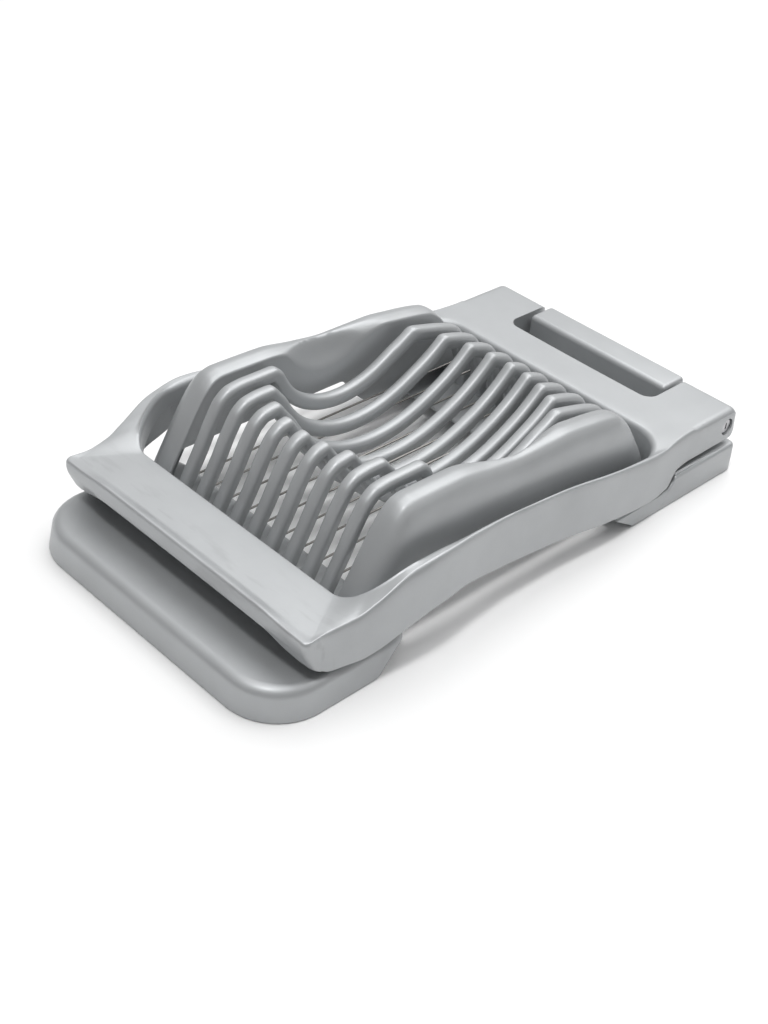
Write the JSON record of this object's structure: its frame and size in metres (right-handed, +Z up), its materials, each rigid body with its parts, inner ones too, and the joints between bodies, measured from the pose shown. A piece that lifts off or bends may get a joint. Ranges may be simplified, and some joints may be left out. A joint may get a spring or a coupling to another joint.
{
  "type": "egg slicer",
  "caption": "Hinged egg slicer: a slotted egg-shaped bowl on two feet, under a wire-strung cutting frame that swings up about a rear pin.",
  "frame": {"origin": "middle of the footprint, on the surface that the feet rest on", "axes": "+X to the right along the hinge pin, +Y from the front handle bar to the rear hinge, +Z up"},
  "size_m": [0.074, 0.134, 0.0294],
  "materials": {
    "cast_aluminium": "satin lacquer over cast aluminium",
    "steel": "bright drawn steel"
  },
  "bodies": {
    "base": {"front_foot": "cast_aluminium", "rear_foot": "cast_aluminium", "hinge_knuckle": "cast_aluminium", "bowl_wall_left": "cast_aluminium", "bowl_wall_right": "cast_aluminium", "cradle_bar_1": "cast_aluminium", "cradle_bar_2": "cast_aluminium", "cradle_bar_3": "cast_aluminium", "cradle_bar_4": "cast_aluminium", "cradle_bar_5": "cast_aluminium", "cradle_bar_6": "cast_aluminium", "cradle_bar_7": "cast_aluminium", "cradle_bar_8": "cast_aluminium", "cradle_bar_9": "cast_aluminium", "hinge_pin": "steel"},
    "cutting_frame": {"handle_bar": "cast_aluminium", "side_bar_left": "cast_aluminium", "side_bar_right": "cast_aluminium", "rear_crossbar": "cast_aluminium", "wire_01": "steel", "wire_02": "steel", "wire_03": "steel", "wire_04": "steel", "wire_05": "steel", "wire_06": "steel", "wire_07": "steel", "wire_08": "steel", "wire_09": "steel", "wire_10": "steel", "front_wire_ferrules": "steel", "rear_wire_ferrules": "steel"}
  },
  "joints": [
    {"name": "frame_hinge", "type": "hinge", "parent": "base", "child": "cutting_frame", "pos_m": [0, 0.0632, 0.0116], "axis": [-1, 0, 0], "range_deg": [0, 110]}
  ]
}
